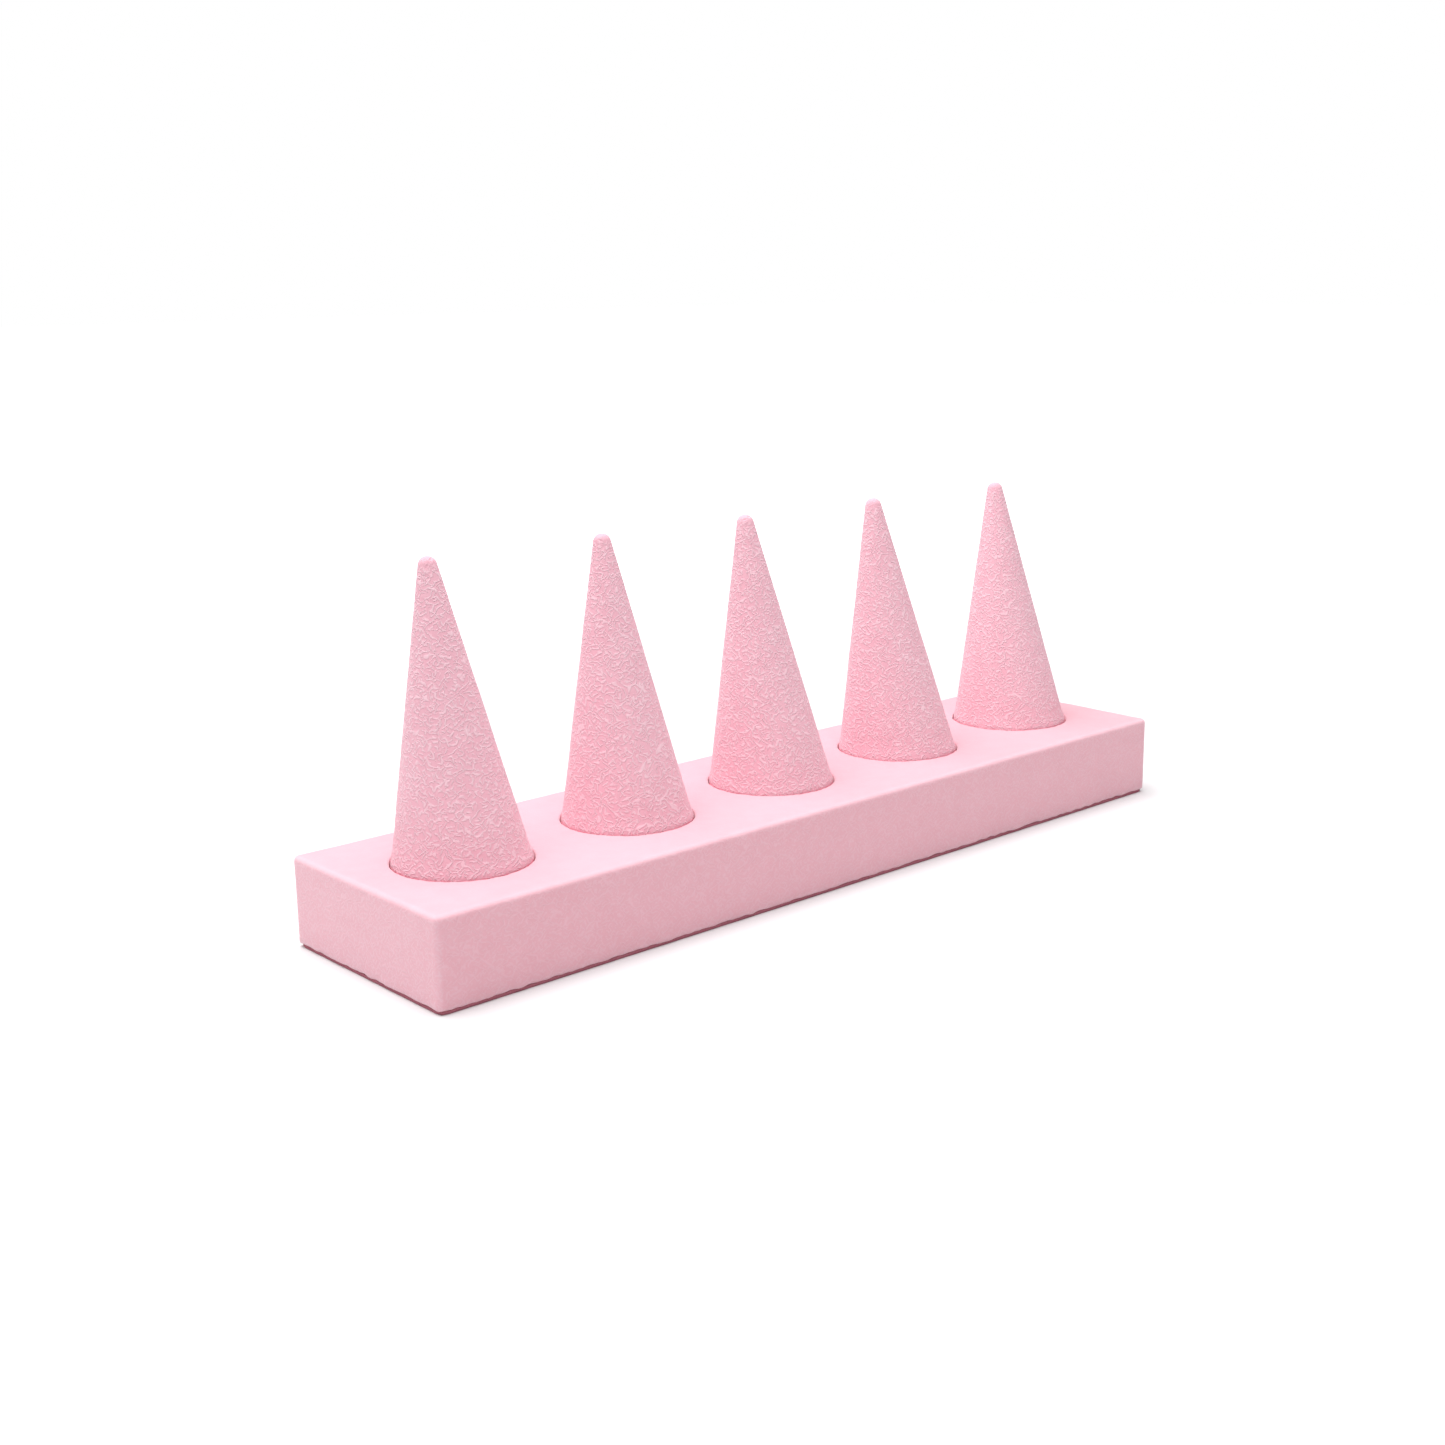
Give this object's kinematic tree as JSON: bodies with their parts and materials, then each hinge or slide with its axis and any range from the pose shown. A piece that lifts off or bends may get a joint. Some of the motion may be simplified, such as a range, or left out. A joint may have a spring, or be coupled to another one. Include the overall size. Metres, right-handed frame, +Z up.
{
  "type": "ring display stand",
  "caption": "Cloth-covered jewellery display block with a row of leaning finger cones that each hold a ring.",
  "frame": {"origin": "centre of the stand's footprint, on the surface that it stands on", "axes": "+X along the row of cones, towards the picture's right; -Y towards the long front face, away from which the cones lean; +Z up"},
  "size_m": [0.25, 0.06, 0.0915],
  "materials": {
    "base_cloth": "pink suede cloth with a short nap",
    "cone_cloth": "pink suede cloth with a short wrinkled nap",
    "felt": "plain rose felt",
    "board": "raw fibreboard",
    "cone_core": "raw wood"
  },
  "bodies": {
    "root": {"base_core": "board", "base_cover": "base_cloth", "base_pad": "felt", "cone_core_1": "cone_core", "cone_core_2": "cone_core", "cone_core_3": "cone_core", "cone_core_4": "cone_core", "cone_core_5": "cone_core", "cone_cover_1": "cone_cloth", "cone_cover_2": "cone_cloth", "cone_cover_3": "cone_cloth", "cone_cover_4": "cone_cloth", "cone_cover_5": "cone_cloth"}
  },
  "joints": []
}
